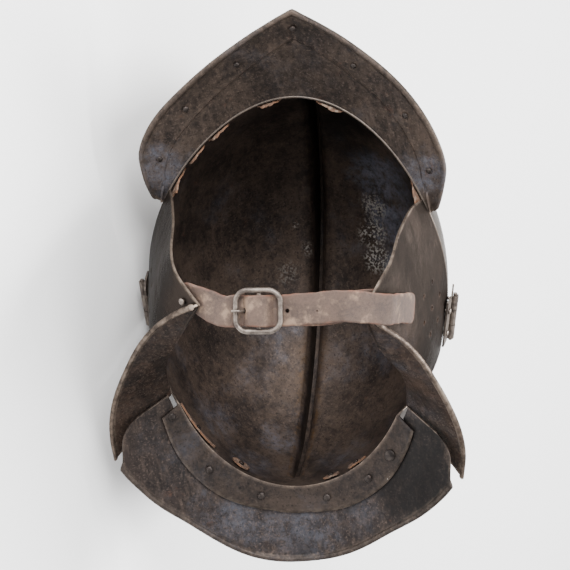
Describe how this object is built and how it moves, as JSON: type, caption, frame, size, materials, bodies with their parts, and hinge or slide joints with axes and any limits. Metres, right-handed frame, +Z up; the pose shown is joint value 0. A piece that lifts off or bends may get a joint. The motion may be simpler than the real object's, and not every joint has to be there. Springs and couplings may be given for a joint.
{
  "type": "burgonet helmet",
  "caption": "Open steel helmet with a combed bowl, pointed peak, flared neck guard and hinged cheekpieces, lying on its side with its leather chin strap buckled.",
  "frame": {"origin": "middle of the bounding box at its lowest level, on the surface that the helmet lies on", "axes": "+Z up; +Y towards the back of the helmet, its nape; +X towards the opening for the head. The wearer's left side is on top."},
  "size_m": [0.2598, 0.3548, 0.2275],
  "materials": {
    "plate_steel": "blackened forged steel with worn bare and rusty patches",
    "fittings_iron": "worn grey iron",
    "strap_leather": "worn grey-brown leather",
    "lining_leather": "dry torn tan leather"
  },
  "bodies": {
    "root": {"bowl": "plate_steel", "peak": "plate_steel", "neck_guard": "plate_steel", "cheekpiece_left": "plate_steel", "cheekpiece_right": "plate_steel", "strap_long": "strap_leather", "strap_short": "strap_leather", "buckle_frame": "fittings_iron", "buckle_prong": "fittings_iron", "hinge_leaf_bowl_left": "fittings_iron", "hinge_leaf_bowl_right": "fittings_iron", "hinge_leaf_cheek_left": "fittings_iron", "hinge_leaf_cheek_right": "fittings_iron", "hinge_pin_left": "fittings_iron", "hinge_pin_right": "fittings_iron", "forehead_1_lining": "lining_leather", "forehead_2_lining": "lining_leather", "forehead_3_lining": "lining_leather", "forehead_4_lining": "lining_leather", "forehead_5_lining": "lining_leather", "forehead_6_lining": "lining_leather", "nape_1_lining": "lining_leather", "nape_2_lining": "lining_leather", "nape_3_lining": "lining_leather", "nape_4_lining": "lining_leather", "forehead_1_rivet": "fittings_iron", "forehead_2_rivet": "fittings_iron", "forehead_3_rivet": "fittings_iron", "forehead_4_rivet": "fittings_iron", "forehead_5_rivet": "fittings_iron", "forehead_6_rivet": "fittings_iron", "nape_1_rivet": "fittings_iron", "nape_2_rivet": "fittings_iron", "nape_3_rivet": "fittings_iron", "nape_4_rivet": "fittings_iron", "peak_rivet_1": "fittings_iron", "peak_rivet_2": "fittings_iron", "peak_rivet_3": "fittings_iron", "peak_rivet_4": "fittings_iron", "peak_rivet_5": "fittings_iron", "peak_rivet_6": "fittings_iron", "peak_rivet_7": "fittings_iron", "neck_rivet_1": "fittings_iron", "neck_rivet_2": "fittings_iron", "neck_rivet_3": "fittings_iron", "neck_rivet_4": "fittings_iron", "neck_rivet_5": "fittings_iron", "neck_rivet_6": "fittings_iron", "hinge_rivet_left_1": "fittings_iron", "hinge_rivet_left_2": "fittings_iron", "hinge_rivet_left_3": "fittings_iron", "hinge_rivet_left_4": "fittings_iron", "hinge_rivet_right_1": "fittings_iron", "hinge_rivet_right_2": "fittings_iron", "hinge_rivet_right_3": "fittings_iron", "hinge_rivet_right_4": "fittings_iron", "strap_rivet_left": "fittings_iron", "strap_rivet_right": "fittings_iron"}
  },
  "joints": []
}
